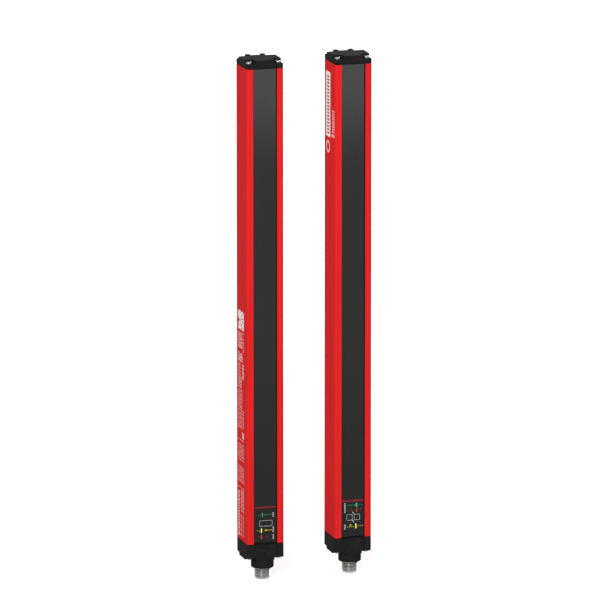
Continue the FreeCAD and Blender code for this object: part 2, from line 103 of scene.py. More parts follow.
def finish(name, colours, drift, grain, roughness, relief=0.0, sockets=None, glow=0.0):
    """A finish made of two patterns, each given as its real size in millimetres and how it is
    drawn out. The drift shades between the two colours. The grain spreads the roughness over its
    range and stands up by the relief, in millimetres. A glow lets the colour shine by itself."""
    material = bpy.data.materials.new(name)
    material.use_nodes = True
    tree = material.node_tree
    shader = tree.nodes["Principled BSDF"]
    for socket, value in (sockets or {}).items():
        shader.inputs[socket].default_value = value
    place = add_node(tree, "ShaderNodeTexCoord")
    patterns = []
    for size, drawn_out in (drift, grain):
        point = add_node(tree, "ShaderNodeMapping",
                         values={"Scale": tuple(axis / (size * MM) for axis in drawn_out)},
                         links={"Vector": place.outputs["Object"]})
        noise = add_node(tree, "ShaderNodeTexNoise", values=NOISE,
                         links={"Vector": point.outputs["Vector"]})
        patterns.append(noise.outputs["Fac"])
    shade = add_node(tree, "ShaderNodeValToRGB", links={"Fac": patterns[0]})
    for stop, position, colour in zip(shade.color_ramp.elements, RAMP_STOPS, colours):
        stop.position = position
        stop.color = linear(colour)
    dullness = add_node(tree, "ShaderNodeMapRange",
                        values={"To Min": roughness[0], "To Max": roughness[1]},
                        links={"Value": patterns[1]})
    tree.links.new(shade.outputs["Color"], shader.inputs["Base Color"])
    tree.links.new(dullness.outputs["Result"], shader.inputs["Roughness"])
    if relief:
        bump = add_node(tree, "ShaderNodeBump", values={"Strength": 1.0, "Distance": relief * MM},
                        links={"Height": patterns[1]})
        tree.links.new(bump.outputs["Normal"], shader.inputs["Normal"])
    if glow:
        shader.inputs["Emission Strength"].default_value = glow
        tree.links.new(shade.outputs["Color"], shader.inputs["Emission Color"])
    return material


# ---------------------------------------------------------------- finishes

METAL = {"Metallic": 1.0}
# the coat and the caps have hardly any gloss, because at a glancing angle even a little of it
# would mirror the white world and pale the sides of the bars
POWDER_COAT = {"IOR": 1.5, "Specular IOR Level": 0.003}
POLYCARBONATE = {"IOR": 1.585, "Specular IOR Level": 0.15}
GRAINED_POLYAMIDE = {"IOR": 1.53, "Specular IOR Level": 0.01}
SMOOTH_POLYAMIDE = {"IOR": 1.53, "Specular IOR Level": 0.25}
DULL_MOULDING = {"IOR": 1.53, "Specular IOR Level": 0.1}
RUBBER = {"IOR": 1.52, "Specular IOR Level": 0.05}
POLYIMIDE = {"IOR": 1.7, "Specular IOR Level": 0.4}
ACRYLIC = {"IOR": 1.49, "Transmission Weight": 1.0}
EPOXY = {"IOR": 1.55, "Specular IOR Level": 0.35}
INK = {"IOR": 1.5, "Specular IOR Level": 0.05}

# in millimetres: the copper tracks of the flat cable, and the yarns of the board's glass cloth
TRACK_PITCH = 1.6
YARN_WIDTH = 0.5
YARN_HEIGHT = 0.01
# the length of one wave of the wave pattern where its scale is 1
WAVE_LENGTH = 0.3142
# the sockets of a mix node when it mixes colours, by number because several share a name
MIX_FACTOR, MIX_FIRST, MIX_SECOND, MIX_RESULT = 0, 6, 7, 2


def red_powder_coat():
    """Satin polyester powder coat baked on an aluminium extrusion. It gives an even deep red with
    hardly any gloss, faint orange peel, and drawn lines of the die that just show through."""
    return finish("red_powder_coat", ("d62526", "dc2a2b"), drift=(1.4, ALONG_THE_BAR),
                  grain=(0.8, EVEN), roughness=(0.42, 0.55), relief=0.006, sockets=POWDER_COAT)


def smoked_polycarbonate():
    """Window of smoked polycarbonate, extruded and polished: near black to the eye and open to
    infrared. It gives a soft clear reflection that wavers a little along the bar."""
    return finish("smoked_polycarbonate", ("0e0e0e", "121111"), drift=(6.0, ALONG_THE_BAR),
                  grain=(8.0, ALONG_THE_BAR), roughness=(0.11, 0.15), sockets=POLYCARBONATE)


def black_polyamide():
    """Glass-filled polyamide moulded in a spark-eroded tool: a soft black with a fine even grain
    and almost no gloss. Such a grain is about 0.05 mm and is drawn coarser, to show."""
    return finish("black_polyamide", ("1e1e1e", "252525"), drift=(3.0, EVEN), grain=(0.35, EVEN),
                  roughness=(0.6, 0.75), relief=0.012, sockets=GRAINED_POLYAMIDE)


def black_rubber():
    """Moulded nitrile rubber of the gaskets and seals: dull black with a soft bloom of dust."""
    return finish("black_rubber", ("101010", "181817"), drift=(2.5, EVEN), grain=(0.6, EVEN),
                  roughness=(0.75, 0.9), relief=0.01, sockets=RUBBER)


def zinc_plated_steel():
    """Bright zinc plate on cold-headed steel screws: cool silver, a little cloudy, with the small
    unevenness of a plated blank."""
    return finish("zinc_plated_steel", ("74777b", "9c9fa2"), drift=(0.8, EVEN),
                  grain=(0.3, EVEN), roughness=(0.2, 0.34), relief=0.004, sockets=METAL)


def nickel_plated_brass():
    """Nickel plate on turned brass: a warm grey mirror, softened by the turning marks that run
    round the shell. Such marks lie about 0.05 mm apart and are drawn coarser, to show."""
    return finish("nickel_plated_brass", ("9a9997", "aeadaa"), drift=(1.2, ROUND_THE_AXIS),
                  grain=(0.3, ROUND_THE_AXIS), roughness=(0.16, 0.24), relief=0.01,
                  sockets=METAL)


def black_contact_carrier():
    """Moulded contact carrier of the plug: dark polyamide with a slight gloss."""
    return finish("black_contact_carrier", ("161616", "1d1d1e"), drift=(2.0, EVEN),
                  grain=(0.5, EVEN), roughness=(0.4, 0.55), relief=0.01,
                  sockets=SMOOTH_POLYAMIDE)


def gold_flash():
    """Thin gold over nickel on turned pins: pale yellow metal with fine rings. Such rings lie
    about 0.05 mm apart and are drawn coarser, to show."""
    return finish("gold_flash", ("d9b45c", "e9c877"), drift=(0.5, ROUND_THE_AXIS),
                  grain=(0.2, ROUND_THE_AXIS), roughness=(0.16, 0.28), relief=0.002,
                  sockets=METAL)


def polyimide_film():
    """Laminated polyimide film, amber and a little glossy. The flat copper tracks inside show as
    darker stripes along the strip."""
    material = finish("polyimide_film", ("b96f24", "cd8230"), drift=(4.0, EVEN),
                      grain=(1.0, EVEN), roughness=(0.3, 0.42), sockets=POLYIMIDE)
    tree = material.node_tree
    place = add_node(tree, "ShaderNodeTexCoord")
    tracks = add_node(tree, "ShaderNodeTexWave", {"bands_direction": "X"},
                      {"Scale": WAVE_LENGTH / (TRACK_PITCH * MM)},
                      {"Vector": place.outputs["Object"]})
    copper = add_node(tree, "ShaderNodeMix", {"data_type": "RGBA", "blend_type": "MULTIPLY"},
                      {MIX_SECOND: linear("9c7c58")},
                      {MIX_FACTOR: tracks.outputs["Fac"],
                       MIX_FIRST: tree.nodes["Color Ramp"].outputs["Color"]})
    tree.links.new(copper.outputs[MIX_RESULT], tree.nodes["Principled BSDF"].inputs["Base Color"])
    return material


def matt_black_moulding():
    """Light-trap black moulding of the optics: very dull, with a coarse mould grain."""
    return finish("matt_black_moulding", ("0e0e0e", "151515"), drift=(3.0, EVEN),
                  grain=(0.5, EVEN), roughness=(0.75, 0.9), relief=0.03, sockets=DULL_MOULDING)


def clear_acrylic(name, tint, dullest):
    """Injection-moulded acrylic: clear, with a faint tint in its flow lines."""
    return finish(name, (tint, "ffffff"), drift=(5.0, EVEN), grain=(3.0, EVEN),
                  roughness=(dullest / 2, dullest), sockets=ACRYLIC)


def green_solder_mask():
    """Solder mask over a glass-epoxy board: glossy green. The yarns of the glass cloth cross over
    and under each other and show through it as a fine weave."""
    material = finish("green_solder_mask", ("0d4a2a", "10572f"), drift=(6.0, EVEN),
                      grain=(2.0, EVEN), roughness=(0.3, 0.45), sockets=EPOXY)
    tree = material.node_tree
    place = add_node(tree, "ShaderNodeTexCoord")
    weave = add_node(tree, "ShaderNodeTexChecker", values={"Scale": 1 / (YARN_WIDTH * MM)},
                     links={"Vector": place.outputs["Object"]})
    relief = add_node(tree, "ShaderNodeBump", values={"Distance": YARN_HEIGHT * MM},
                      links={"Height": weave.outputs["Fac"]})
    tree.links.new(relief.outputs["Normal"], tree.nodes["Principled BSDF"].inputs["Normal"])
    return material


def epoxy_package(name, low, high):
    """Transfer-moulded epoxy package of a chip, diode or lamp: a fine matt grain."""
    return finish(name, (low, high), drift=(1.0, EVEN), grain=(0.25, EVEN),
                  roughness=(0.5, 0.65), relief=0.006, sockets=EPOXY)


def screen_ink(name, low, high):
    """Screen-printed ink: dull, and a little uneven where the mesh left it thin. Such a mesh is
    about 0.1 mm and is drawn coarser, to show."""
    return finish(name, (low, high), drift=(0.9, EVEN), grain=(0.3, EVEN),
                  roughness=(0.55, 0.7), relief=0.004, sockets=INK)


def lit_lamp(name, low, high, glow):
    """A diode lamp, lit, behind its moulded light bar: its own colour, a little uneven."""
    return finish(name, (low, high), drift=(1.6, EVEN), grain=(0.8, EVEN),
                  roughness=(0.3, 0.4), sockets=INK, glow=glow)


def painted_recess_shade():
    """Painted shade for the driven recess of a screw: a near-black colour stands in for the shade
    inside it.
    """
    return finish("painted_recess_shade", ("161616", "202020"), drift=(0.8, EVEN), grain=(0.3, EVEN),
                  roughness=(0.5, 0.7), sockets=INK)


# a finish for each of the record's material slots
FINISHES = {
    "red_paint": red_powder_coat(),
    "tinted_window": smoked_polycarbonate(),
    "black_cap": black_polyamide(),
    "black_seal": black_rubber(),
    "screw_steel": zinc_plated_steel(),
    "plug_metal": nickel_plated_brass(),
    "plug_insert": black_contact_carrier(),
    "contact_gold": gold_flash(),
    "flex_film": polyimide_film(),
    "carrier_black": matt_black_moulding(),
    "lens_clear": clear_acrylic("clear_acrylic_lens", "f4f6f7", 0.04),
    "board_green": green_solder_mask(),
    "chip_black": epoxy_package("black_epoxy_package", "17181a", "222326"),
    "diode_package": epoxy_package("smoked_epoxy_diode", "1a1414", "261b1b"),
    "lamp_white": epoxy_package("white_lamp_package", "dcdad2", "efeee8"),
    "pipe_clear": clear_acrylic("frosted_acrylic_pipe", "eceeee", 0.25),
    "display_grey": epoxy_package("grey_display_face", "2c2d2f", "36373a"),
}
# painted shade: a near-black material for the faces inside the screw recesses
PAINTED_RECESS_SHADE = painted_recess_shade()

# panel print
GREY_INK = screen_ink("grey_panel_ink", "8c8c8c", "a4a4a4")
PALE_INK = screen_ink("pale_panel_ink", "a8a8a8", "cccccc")
GREEN_INK = screen_ink("green_panel_ink", "146244", "1f7a55")
YELLOW_INK = screen_ink("yellow_panel_ink", "a8961e", "c4b22c")
RED_INK = screen_ink("red_panel_ink", "8a2028", "a42a30")
MAGENTA_INK = screen_ink("magenta_panel_ink", "762044", "8c2850")
DARK_INK = screen_ink("black_panel_ink", "0c0c0c", "111111")
SEGMENT_INK = screen_ink("unlit_segment_grey", "3a3b3c", "444546")
GREEN_LAMP = lit_lamp("green_lamp", "2a9468", "3fb082", 0.12)
YELLOW_LAMP = lit_lamp("yellow_lamp", "ecd45c", "f8e880", 0.3)
RED_LAMP = lit_lamp("red_lamp", "a43420", "bc4428", 0.1)

# side print
PALE_SIDE_INK = screen_ink("pale_side_ink", "eec6c6", "f8dcdc")
WHITE_SIDE_INK = screen_ink("white_side_ink", "f2eeee", "ffffff")
LABEL_FILM = screen_ink("white_label_film", "fafafa", "ffffff")
LABEL_INK = screen_ink("dark_label_ink", "3b1618", "4a1c1e")


# ---------------------------------------------------------------- mesh tools

# points closer than this, in metres, become one
WELD = 1e-7
# edges that turn by more than these angles, in degrees, stay sharp
SHELL_SHARP_FROM = 48
SCREW_SHARP_FROM = 30
BEAD_SHARP_FROM = 35


def finish_piece(bm, name, materials, sharp_from=None):
    """A closed mesh as an object of its own that rides on the part. Its faces stay flat, or they
    are smoothed and the edges kept sharp that turn by more than an angle in degrees."""
    bmesh.ops.remove_doubles(bm, verts=bm.verts, dist=WELD)
    bmesh.ops.recalc_face_normals(bm, faces=bm.faces)
    mesh = bpy.data.meshes.new(name)
    bm.to_mesh(mesh)
    bm.free()
    for material in materials:
        mesh.materials.append(material)
    if sharp_from is not None:
        mesh.shade_smooth()
        mesh.set_sharp_from_angle(angle=math.radians(sharp_from))
    piece = bpy.data.objects.new(name, mesh)
    bpy.context.scene.collection.objects.link(piece)
    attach(piece, "root")
    return piece


def points_of(geometry):
    """The points among what an operator made."""
    return [part for part in geometry if isinstance(part, bmesh.types.BMVert)]


# ---------------------------------------------------------------- plug shells

# the shell in millimetres, its heights counted from the tip
CREST_RADIUS = 6.0
ROOT_RADIUS = 5.42
BORE_RADIUS = 4.3
BORE_CHAMFER = 0.25
TIP_TAPER = 0.75
THREAD_TOP = 7.9
SHANK_RADIUS = 5.5
SHANK_STEP = 0.08
GROOVE_RADIUS = 4.8
FLANGE_THICKNESS = 1.4
SHELL_STEPS = 64

# the coding key: how far it stands into the bore and how far it sinks into the wall
KEY_WIDTH = 1.1
KEY_DEPTH = 0.7
KEY_ROOT = 0.6
KEY_START = 0.8

# the thread, and half the outline of its ridge as (radius, height) from the foot to the crest
THREAD_START = 0.45
THREAD_PITCH = 1.0
THREAD_TURNS = 6.125
STEPS_A_TURN = 40
HALF_RIDGE = ((ROOT_RADIUS - 0.1, 0.0), (ROOT_RADIUS, 0.06), (CREST_RADIUS - 0.14, 0.36),
              (CREST_RADIUS - 0.06, 0.42), (CREST_RADIUS - 0.015, 0.48))


def turned(bm, outline, axis_x, axis_y, steps):
    """A turned body from a closed outline of (radius, height) points round an upright axis."""
    verts = [bm.verts.new((axis_x + radius, axis_y, height)) for radius, height in outline]
    edges = [bm.edges.new((verts[i], verts[i - 1])) for i in range(len(verts))]
    bmesh.ops.spin(bm, geom=verts + edges, cent=(axis_x, axis_y, 0), axis=(0, 0, 1),
                   angle=math.tau, steps=steps, use_merge=True)


def coding_key(bm, axis_x, axis_y, low, high):
    """The key at the rear of the bore, between two heights."""
    key = bmesh.ops.create_cube(bm, size=1.0)
    bmesh.ops.scale(bm, verts=key["verts"],
                    vec=(KEY_WIDTH * MM, (KEY_DEPTH + KEY_ROOT) * MM, high - low))
    rear = axis_y + (BORE_RADIUS + (KEY_ROOT - KEY_DEPTH) / 2) * MM
    bmesh.ops.translate(bm, verts=key["verts"], vec=(axis_x, rear, (low + high) / 2))


def thread_ridge(bm, axis_x, axis_y, tip):
    """The ridge of the thread, wound round the shell with its foot sunk into the root."""
    start = tip + THREAD_START * MM
    ridge = HALF_RIDGE + tuple((radius, THREAD_PITCH - height)
                               for radius, height in reversed(HALF_RIDGE))
    section = bm.faces.new([bm.verts.new((axis_x + radius * MM, axis_y, start + height * MM))
                            for radius, height in ridge])
    steps = round(THREAD_TURNS * STEPS_A_TURN)
    bmesh.ops.spin(bm, geom=[section], cent=(axis_x, axis_y, 0), axis=(0, 0, 1),
                   dvec=(0, 0, THREAD_PITCH * MM / STEPS_A_TURN),
                   angle=math.tau * steps / STEPS_A_TURN, steps=steps, use_duplicate=False)


def threaded_shell(bar):
    """The plug's nickel-plated shell with its M12 thread, O-ring groove, flange, bore and key."""
    low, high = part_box(bar + "_connector_shell")
    axis_x = (low.x + high.x) / 2
    axis_y = (low.y + high.y) / 2
    tip, top = low.z, high.z
    flange_radius = (high.x - low.x) / 2
    flange_low = top - FLANGE_THICKNESS * MM
    crest, root, bore = CREST_RADIUS * MM, ROOT_RADIUS * MM, BORE_RADIUS * MM
    shank, groove = SHANK_RADIUS * MM, GROOVE_RADIUS * MM
    chamfer, taper = BORE_CHAMFER * MM, TIP_TAPER * MM
    thread_top = tip + THREAD_TOP * MM
    ring_low, ring_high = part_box(bar + "_connector_o_ring")
    bm = bmesh.new()
    outline = [(bore, tip + chamfer), (bore + chamfer, tip), (crest - taper, tip),
               (root, tip + taper), (root, thread_top), (shank, thread_top + SHANK_STEP * MM),
               (shank, ring_low.z), (groove, ring_low.z), (groove, ring_high.z),
               (shank, ring_high.z), (shank, flange_low), (flange_radius, flange_low),
               (flange_radius, top), (bore, top)]
    turned(bm, outline, axis_x, axis_y, SHELL_STEPS)
    insert_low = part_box(bar + "_connector_insert")[0].z
    coding_key(bm, axis_x, axis_y, tip + KEY_START * MM, insert_low)
    thread_ridge(bm, axis_x, axis_y, tip)
    piece = finish_piece(bm, bar + "_plug_shell", [FINISHES["plug_metal"]],
                         SHELL_SHARP_FROM)
    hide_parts(bar + "_connector_shell")


# ---------------------------------------------------------------- cap screws

# a pan-head screw in millimetres, seated on z = 0 and driven down
HEAD_RADIUS = 2.15
HEAD_HEIGHT = 1.6
SCREW_SHANK_RADIUS = 1.2
SCREW_LENGTH = 8.0
RECESS_RADIUS = 1.1
RECESS_DEPTH = 1.3
# the crown of the head as (radius, height), from the recess outwards
CROWN = ((1.45, 1.56), (1.85, 1.4), (2.08, 1.12), (HEAD_RADIUS, 0.8))
# the lobes of the recess, and their depth as a share of its radius
RECESS_CORNERS = 36
LOBES = 6
LOBE_DEPTH = 0.2
# a hair over the recess, so that none of its own faces is left out
WITHIN_THE_RECESS = 1.01


def ring_outward(bm, radius, height):
    """Draws the open rim of a round body out to a circle of its own at another height."""
    rim = [edge for edge in bm.edges if edge.is_boundary]
    made = bmesh.ops.extrude_edge_only(bm, edges=rim)["geom"]
    for vert in points_of(made):
        spoke = Vector((vert.co.x, vert.co.y, 0)).normalized() * radius
        vert.co = (spoke.x, spoke.y, height)


def pan_screw():
    """A pan-head screw. The faces of its six-lobed recess carry the second material, which paints the
    shade inside the recess.
    """
    bm = bmesh.new()
    disc = bmesh.ops.create_circle(bm, cap_ends=True, radius=RECESS_RADIUS * MM,
                                   segments=RECESS_CORNERS)
    for vert in disc["verts"]:
        angle = math.atan2(vert.co.y, vert.co.x)
        vert.co *= 1 - LOBE_DEPTH * (1 - math.cos(LOBES * angle)) / 2
        vert.co.z = HEAD_HEIGHT * MM
    recess = bm.faces[:]
    shaft = ((HEAD_RADIUS, 0.0), (SCREW_SHANK_RADIUS, 0.0), (SCREW_SHANK_RADIUS, -SCREW_LENGTH))
    for radius, height in CROWN + shaft:
        ring_outward(bm, radius * MM, height * MM)
    bmesh.ops.holes_fill(bm, edges=[edge for edge in bm.edges if edge.is_boundary], sides=0)
    sunk = points_of(bmesh.ops.extrude_face_region(bm, geom=recess)["geom"])
    bmesh.ops.translate(bm, verts=sunk, vec=(0, 0, -RECESS_DEPTH * MM))
    bmesh.ops.delete(bm, geom=[face for face in recess if face.is_valid], context="FACES_ONLY")
    reach = RECESS_RADIUS * MM * WITHIN_THE_RECESS
    # the faces inside the recess take the painted shade
    for face in bm.faces:
        if max(math.hypot(vert.co.x, vert.co.y) for vert in face.verts) < reach:
            face.material_index = 1
    return bm


def cap_screws(bar, end, seat, turn):
    """The four pan-head screws of one cap, in place of their plain solids."""
    node = bar + "_" + end + "_cap_screws"
    low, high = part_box(node)
    head = HEAD_RADIUS * MM
    screws = bmesh.new()
    model = pan_screw()
    mesh = bpy.data.meshes.new("screw_model")
    model.to_mesh(mesh)
    model.free()
    for x in (low.x + head, high.x - head):
        for y in (low.y + head, high.y - head):
            before = set(screws.verts)
            screws.from_mesh(mesh)
            own = [vert for vert in screws.verts if vert not in before]
            stand = Matrix.Translation((x, y, seat)) @ Matrix.Rotation(turn, 4, "X")
            bmesh.ops.transform(screws, matrix=stand, verts=own)
    bpy.data.meshes.remove(mesh)
    # the second material paints the shade inside the recesses
    piece = finish_piece(screws, node + "_turned",
                         [FINISHES["screw_steel"], PAINTED_RECESS_SHADE], SCREW_SHARP_FROM)
    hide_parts(node)


# ---------------------------------------------------------------- window beads, also standing in for shade under the lips

# a bead in millimetres: its radius, and how far its middle stands from the middle of the bar
BEAD_RADIUS = 0.55
BEAD_FROM_AXIS = 8.85
BEAD_CORNERS = 12


def window_beads_and_shade(bar):
    """The black sealing beads that run up both edges of a window, in the corners under the lips,
    where they also stand in for the shade that falls there.
    """
    low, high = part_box(bar + "_front_window")
    axis_x = (low.x + high.x) / 2
    bm = bmesh.new()
    for side in (-1, 1):
        bead = bmesh.ops.create_circle(bm, cap_ends=True, radius=BEAD_RADIUS * MM,
                                       segments=BEAD_CORNERS)
        edge = Vector((axis_x + side * BEAD_FROM_AXIS * MM, low.y, low.z))
        bmesh.ops.translate(bm, verts=bead["verts"], vec=edge)
    run = bmesh.ops.extrude_face_region(bm, geom=bm.faces[:], use_keep_orig=True)["geom"]
    bmesh.ops.translate(bm, verts=points_of(run), vec=(0, 0, high.z - low.z))
    # black rubber beads, which also stand in for the shade in the corners under the lips
    finish_piece(bm, bar + "_window_beads_and_shade", [FINISHES["black_seal"]],
                 BEAD_SHARP_FROM)


# ---------------------------------------------------------------- print

# a film in millimetres: how far it stands out for each layer, and how far it sinks in
FILM_THICKNESS = 0.03
FILM_SUNK = 0.01
CORNER_STEPS = 4

# print that repeats: how much of its pitch a block in a stack fills, and the rounded corners
BLOCK_SHARE = 0.66
BLOCK_ROUNDING = 0.12
BAR_ROUNDING = 0.1

# the face of a window: u to the right from the bar's middle, v up from the foot of the extrusion
UPRIGHT_FRONT = Matrix.Rotation(math.pi / 2, 4, "X")
# the left-hand side of a bar: u towards the front, v up
UPRIGHT_LEFT = Matrix(((0, 0, -1, 0), (-1, 0, 0, 0), (0, 1, 0, 0), (0, 0, 0, 1)))


def thin_plate(width, height, rounding, stroke, layer):
    """A film of ink or foil lying in the XY plane, with rounded corners, solid or as a frame."""
    bm = bmesh.new()
    bmesh.ops.create_grid(bm, x_segments=1, y_segments=1, size=0.5)
    bmesh.ops.scale(bm, vec=(width * MM, height * MM, 1), verts=bm.verts)
    if rounding:
        bmesh.ops.bevel(bm, geom=bm.verts[:], offset=rounding * MM, segments=CORNER_STEPS,
                        profile=0.5, affect="VERTICES", material=-1)
    if stroke:
        ring = bmesh.ops.inset_region(bm, faces=bm.faces[:], thickness=stroke * MM,
                                      use_boundary=True, use_even_offset=True)["faces"]
        middle = [face for face in bm.faces if face not in ring]
        bmesh.ops.delete(bm, geom=middle, context="FACES")
    bmesh.ops.translate(bm, verts=bm.verts, vec=(0, 0, -FILM_SUNK * MM))
    lifted = bmesh.ops.extrude_face_region(bm, geom=bm.faces[:], use_keep_orig=True)["geom"]
    proud = FILM_SUNK + layer * FILM_THICKNESS
    bmesh.ops.translate(bm, verts=points_of(lifted), vec=(0, 0, proud * MM))
    return bm


class Print:
    """Films of ink on one flat face of a bar, gathered into a single piece."""

    def __init__(self, name, stand):
        self.name = name
        self.stand = stand
        self.inks = []
        self.bm = bmesh.new()
        self.scratch = bpy.data.meshes.new("scratch")

    def add(self, ink, u, v, width, height, rounding=0.0, stroke=0.0, turn=0.0, layer=1):
        """One film centred on (u, v) of the face, in millimetres, turned by degrees. What is
        printed over another film is on layer 2."""
        if ink not in self.inks:
            self.inks.append(ink)
        plate = thin_plate(width, height, rounding, stroke, layer)
        place = self.stand @ Matrix.Translation((u * MM, v * MM, 0))
        place = place @ Matrix.Rotation(math.radians(turn), 4, "Z")
        bmesh.ops.transform(plate, matrix=place, verts=plate.verts)
        for face in plate.faces:
            face.material_index = self.inks.index(ink)
        plate.to_mesh(self.scratch)
        plate.free()
        self.bm.from_mesh(self.scratch)

    def dashes(self, ink, first, last, v, length, height, gap):
        """A row of equal dashes that fills the run between two places along u. Their length is
        stretched or shortened so that a whole number of them fits."""
        count = max(1, round((last - first + gap) / (length + gap)))
        pitch = (last - first + gap) / count
        for i in range(count):
            self.add(ink, first + (i + 0.5) * pitch - gap / 2, v, pitch - gap, height)

    def stack(self, ink, u, low, high, count, width):
        """Equal blocks one above another between two heights."""
        pitch = (high - low) / count
        for i in range(count):
            self.add(ink, u, low + (i + 0.5) * pitch, width, pitch * BLOCK_SHARE, BLOCK_ROUNDING)

    def ladder(self, ink, u, first, pitch, count, width, height, layer=1):
        """Equal bars one below another, from the height of the first."""
        for i in range(count):
            self.add(ink, u, first - i * pitch, width, height, BAR_ROUNDING, layer=layer)

    def as_piece(self, slot):
        """Makes one piece of the gathered films."""
        bpy.data.meshes.remove(self.scratch)
        finish_piece(self.bm, self.name, self.inks)


# ---------------------------------------------------------------- indicator panels

# a display in millimetres: its grey frame, the dark field within, and the room for the digits
FRAME_ROUNDING = 0.7
FRAME_STROKE = 0.42
FIELD_INSET = 0.5
FIELD_ROUNDING = 0.4
DIGITS_INSET = 0.7
DIGITS_CLEARANCE = 1.0
WIDEST_DIGIT = 1.7
DIGIT_SHARE_OF_PITCH = 0.56

SEGMENT_STROKE = 0.34
SEGMENT_ROUNDING = 0.1
# the middles of the top and bottom segments stand this far towards the ends of a digit's height
SEGMENT_REACH = 0.84

# in millimetres: the rule across the top of a panel, and the columns of pale blocks
PANEL_RULE_LENGTH = 17.9
BLOCK_WIDTH = 1.0


def seven_segments(panel, u, v, width, height):
    """An unlit seven-segment digit."""
    reach = height / 2 * SEGMENT_REACH
    for level in (-reach, 0.0, reach):
        panel.add(SEGMENT_INK, u, v + level, width - SEGMENT_STROKE, SEGMENT_STROKE,
                  SEGMENT_ROUNDING, layer=2)
    for side in (-1, 1):
        for level in (-reach / 2, reach / 2):
            panel.add(SEGMENT_INK, u + side * width / 2, v + level, SEGMENT_STROKE,
                      reach - SEGMENT_STROKE, SEGMENT_ROUNDING, layer=2)


def digit_window(panel, u, v, width, height, digits):
    """A grey frame round a dark display with unlit digits."""
    panel.add(GREY_INK, u, v, width, height, FRAME_ROUNDING, FRAME_STROKE)
    panel.add(DARK_INK, u, v, width - 2 * FIELD_INSET, height - 2 * FIELD_INSET, FIELD_ROUNDING)
    pitch = (width - 2 * DIGITS_INSET) / digits
    digit_width = min(pitch * DIGIT_SHARE_OF_PITCH, WIDEST_DIGIT)
    for i in range(digits):
        place = u + (i - (digits - 1) / 2) * pitch
        seven_segments(panel, place, v, digit_width, height - 2 * DIGITS_CLEARANCE)


def panel_print(bar):
    """The panel's print, at its own places on the window's lower end."""
    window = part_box(bar + "_front_window")
    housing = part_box(bar + "_housing_profile")
    middle = (housing[0].x + housing[1].x) / 2
    stand = Matrix.Translation((middle, window[0].y, housing[0].z)) @ UPRIGHT_FRONT
    return Print(bar + "_panel_print", stand)


def transmitter_panel():
    """Transmitter: three lamp rows, one long display between the first and the second. Here and
    on the receiver a film is given by its ink, its middle (u, v), its width, height and rounding,
    dashes by their ends, height above the foot, length, thickness and gap, and a stack by its
    middle, its lower and upper end, its count and its width."""
    panel = panel_print("transmitter")
    panel.add(RED_INK, 0, 27.0, PANEL_RULE_LENGTH, 0.85)
    panel.add(GREEN_LAMP, -2.05, 21.3, 0.6, 3.4, 0.2)
    panel.dashes(GREEN_INK, -5.6, -2.9, 21.3, 1.0, 0.6, 0.5)
    panel.dashes(GREEN_INK, -1.0, 5.2, 21.4, 1.7, 0.8, 0.5)
    panel.stack(PALE_INK, 6.2, 19.3, 23.0, 3, BLOCK_WIDTH)
    digit_window(panel, 0.6, 14.9, 9.9, 4.5, 3)
    panel.add(YELLOW_LAMP, -2.75, 9.6, 0.75, 3.5, 0.25)
    panel.dashes(YELLOW_INK, -6.2, -3.7, 9.5, 1.0, 0.5, 0.6)
    panel.dashes(YELLOW_INK, -0.6, 5.3, 9.7, 1.1, 0.6, 0.5)
    panel.add(YELLOW_INK, 0.6, 9.8, 1.0, 1.2, 0.2, layer=2)
    panel.stack(PALE_INK, 6.2, 7.9, 12.1, 3, BLOCK_WIDTH)
    panel.add(RED_LAMP, -2.75, 4.9, 0.75, 3.2, 0.2)
    panel.add(RED_INK, -4.6, 4.9, 1.3, 0.4)
    panel.add(MAGENTA_INK, 1.5, 4.9, 1.3, 1.3, 0.5)
    panel.stack(PALE_INK, 6.2, 2.5, 6.4, 3, BLOCK_WIDTH)
    panel.as_piece("tinted_window")


def receiver_panel():
    """Receiver: green and red lamps, two single digits, one yellow lamp below."""
    panel = panel_print("receiver")
    panel.add(RED_INK, 0, 27.3, PANEL_RULE_LENGTH, 0.95)
    panel.add(GREEN_LAMP, 3.0, 24.0, 1.3, 3.2, 0.25)
    panel.dashes(GREEN_INK, -3.8, 1.9, 24.0, 1.5, 0.8, 0.6)
    panel.dashes(GREEN_INK, 4.8, 7.4, 24.0, 0.9, 0.6, 0.6)
    panel.add(RED_LAMP, 3.1, 19.9, 1.0, 3.0, 0.25)
    panel.dashes(RED_INK, -3.8, 0.0, 19.9, 1.6, 0.5, 0.6)
    panel.add(MAGENTA_INK, 6.1, 20.7, 1.2, 1.2, 0.5)
    panel.stack(PALE_INK, -5.9, 18.4, 26.0, 6, BLOCK_WIDTH)
    digit_window(panel, -2.35, 14.8, 4.6, 4.6, 1)
    digit_window(panel, 3.4, 14.8, 4.5, 4.6, 1)
    panel.add(PALE_INK, 0.35, 12.0, 0.55, 2.2, 0.2, turn=35, layer=2)
    panel.add(PALE_INK, 0.65, 18.0, 0.55, 2.2, 0.2, turn=35, layer=2)
    panel.add(YELLOW_LAMP, 2.55, 8.1, 0.85, 3.6, 0.25)
    panel.dashes(YELLOW_INK, -4.6, 1.3, 7.7, 0.9, 0.5, 0.6)
    panel.add(YELLOW_INK, -1.6, 9.0, 1.3, 1.3, 0.2, turn=45, layer=2)
    panel.dashes(YELLOW_INK, 4.1, 8.0, 8.1, 0.9, 0.5, 0.6)
    panel.stack(PALE_INK, -5.9, 5.7, 9.7, 3, BLOCK_WIDTH)
    panel.as_piece("tinted_window")


# ---------------------------------------------------------------- print on the sides

# the transmitter's print in millimetres, from the front edge and up from the foot: first its
# field of small squares, of which only a share is printed
CODE_COLUMNS = 15
CODE_ROWS = 14
CODE_PITCH = 1.02
CODE_SQUARE = 0.98
CODE_FROM_FRONT = 9.2
CODE_FROM_FOOT = 158.4
CODE_SHARE_FILLED = 0.66
CODE_SEED = 7

# broken lines of fine print: the range of their marks and gaps, and the least room for a mark
MARK_LENGTHS = (0.9, 3.2)
MARK_GAPS = (0.5, 1.1)
LEAST_ROOM = 0.6
